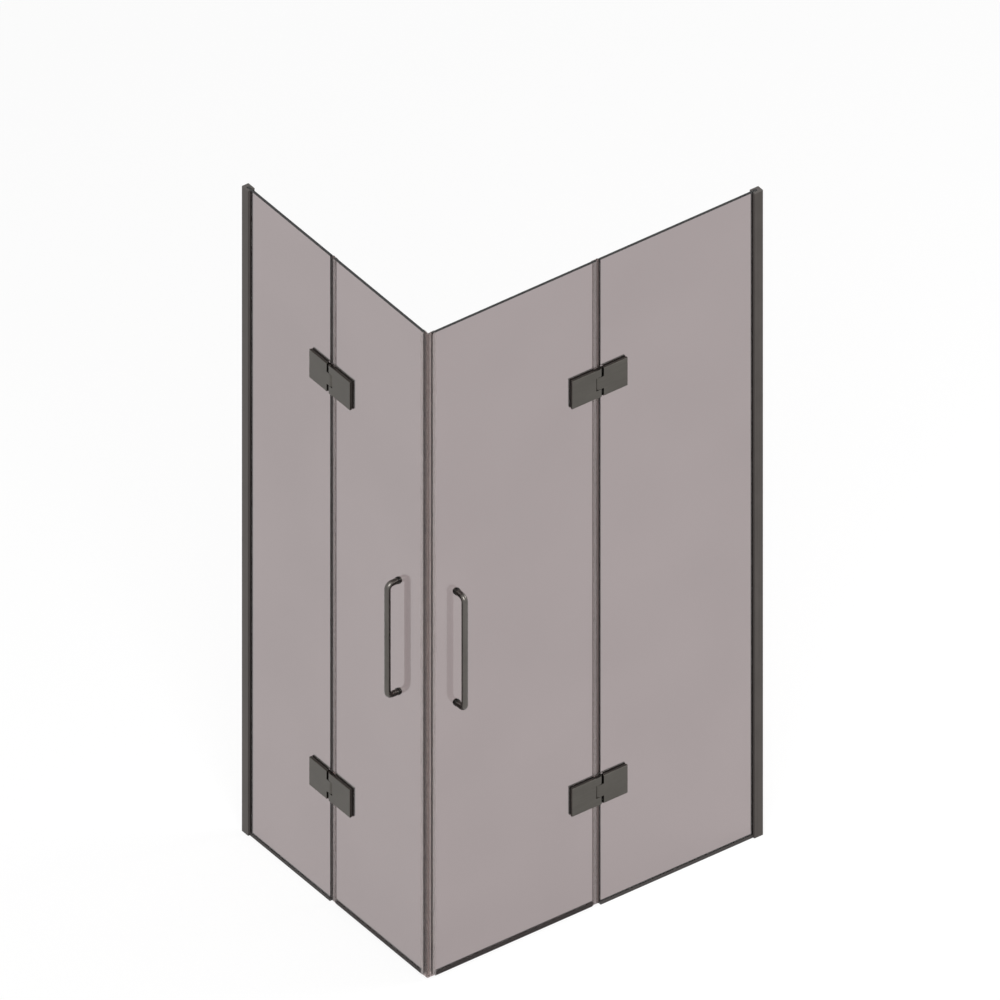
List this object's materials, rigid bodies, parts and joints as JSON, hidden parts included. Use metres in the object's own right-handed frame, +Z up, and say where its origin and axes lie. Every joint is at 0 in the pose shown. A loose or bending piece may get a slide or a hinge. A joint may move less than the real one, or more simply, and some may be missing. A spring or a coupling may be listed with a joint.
{
  "type": "corner shower enclosure",
  "caption": "Frameless corner shower enclosure in tinted glass: fixed panes in wall channels carry outward-opening doors on glass-to-glass hinges that close on each other at the corner.",
  "frame": {"origin": "on the floor, below the middle of the enclosure's bounding box", "axes": "+Z up; +X along the long side from the glass corner to its wall; +Y along the short side from the glass corner to its wall"},
  "size_m": [1.038, 0.788, 1.95],
  "materials": {
    "tinted_glass": "grey-bronze tinted toughened glass with polished edges",
    "channel_aluminium": "satin graphite anodised extrusion",
    "hinge_steel": "satin gunmetal plating",
    "handle_steel": "satin gunmetal plating",
    "screw_steel": "dark plated steel",
    "gasket_rubber": "matt black rubber",
    "seal_pvc": "smoked clear PVC extrusion",
    "bulb_pvc": "soft dark PVC bead",
    "magnet_ferrite": "bonded ferrite strip",
    "nylon": "natural nylon",
    "cap_plastic": "moulded cap in the channel's colour"
  },
  "bodies": {
    "fixed_frame": {"long_wall_channel": "channel_aluminium", "long_channel_gaskets": "gasket_rubber", "long_channel_cap": "cap_plastic", "long_fixed_glass": "tinted_glass", "long_sill_strip": "gasket_rubber", "long_upper_hinge_fixed_body": "hinge_steel", "long_lower_hinge_fixed_body": "hinge_steel", "long_hinge_fixed_clamps": "hinge_steel", "long_hinge_fixed_gaskets": "gasket_rubber", "long_hinge_fixed_screws": "screw_steel", "long_hinge_bushes": "nylon", "short_wall_channel": "channel_aluminium", "short_channel_gaskets": "gasket_rubber", "short_channel_cap": "cap_plastic", "short_fixed_glass": "tinted_glass", "short_sill_strip": "gasket_rubber", "short_upper_hinge_fixed_body": "hinge_steel", "short_lower_hinge_fixed_body": "hinge_steel", "short_hinge_fixed_clamps": "hinge_steel", "short_hinge_fixed_gaskets": "gasket_rubber", "short_hinge_fixed_screws": "screw_steel", "short_hinge_bushes": "nylon"},
    "long_door": {"long_door_glass": "tinted_glass", "long_upper_hinge_door_body": "hinge_steel", "long_lower_hinge_door_body": "hinge_steel", "long_hinge_door_clamps": "hinge_steel", "long_hinge_door_gaskets": "gasket_rubber", "long_hinge_door_screws": "screw_steel", "long_hinge_pins": "screw_steel", "long_handle": "handle_steel", "long_handle_washers": "nylon", "long_handle_sleeves": "nylon", "long_handle_cap_screws": "handle_steel", "long_hinge_edge_clip": "seal_pvc", "long_hinge_edge_bulb": "bulb_pvc", "long_magnet_seal": "seal_pvc", "long_magnet_strip": "magnet_ferrite", "long_bottom_seal": "seal_pvc"},
    "short_door": {"short_door_glass": "tinted_glass", "short_upper_hinge_door_body": "hinge_steel", "short_lower_hinge_door_body": "hinge_steel", "short_hinge_door_clamps": "hinge_steel", "short_hinge_door_gaskets": "gasket_rubber", "short_hinge_door_screws": "screw_steel", "short_hinge_pins": "screw_steel", "short_handle": "handle_steel", "short_handle_washers": "nylon", "short_handle_sleeves": "nylon", "short_handle_cap_screws": "handle_steel", "short_hinge_edge_clip": "seal_pvc", "short_hinge_edge_bulb": "bulb_pvc", "short_magnet_seal": "seal_pvc", "short_magnet_strip": "magnet_ferrite", "short_bottom_seal": "seal_pvc"}
  },
  "joints": [
    {"name": "long_door_hinge", "type": "hinge", "parent": "fixed_frame", "child": "long_door", "pos_m": [0.031, -0.352, 0], "axis": [0, 0, 1], "range_deg": [0, 90]},
    {"name": "short_door_hinge", "type": "hinge", "parent": "fixed_frame", "child": "short_door", "pos_m": [-0.477, 0.035, 0], "axis": [0, 0, -1], "range_deg": [0, 90]}
  ]
}
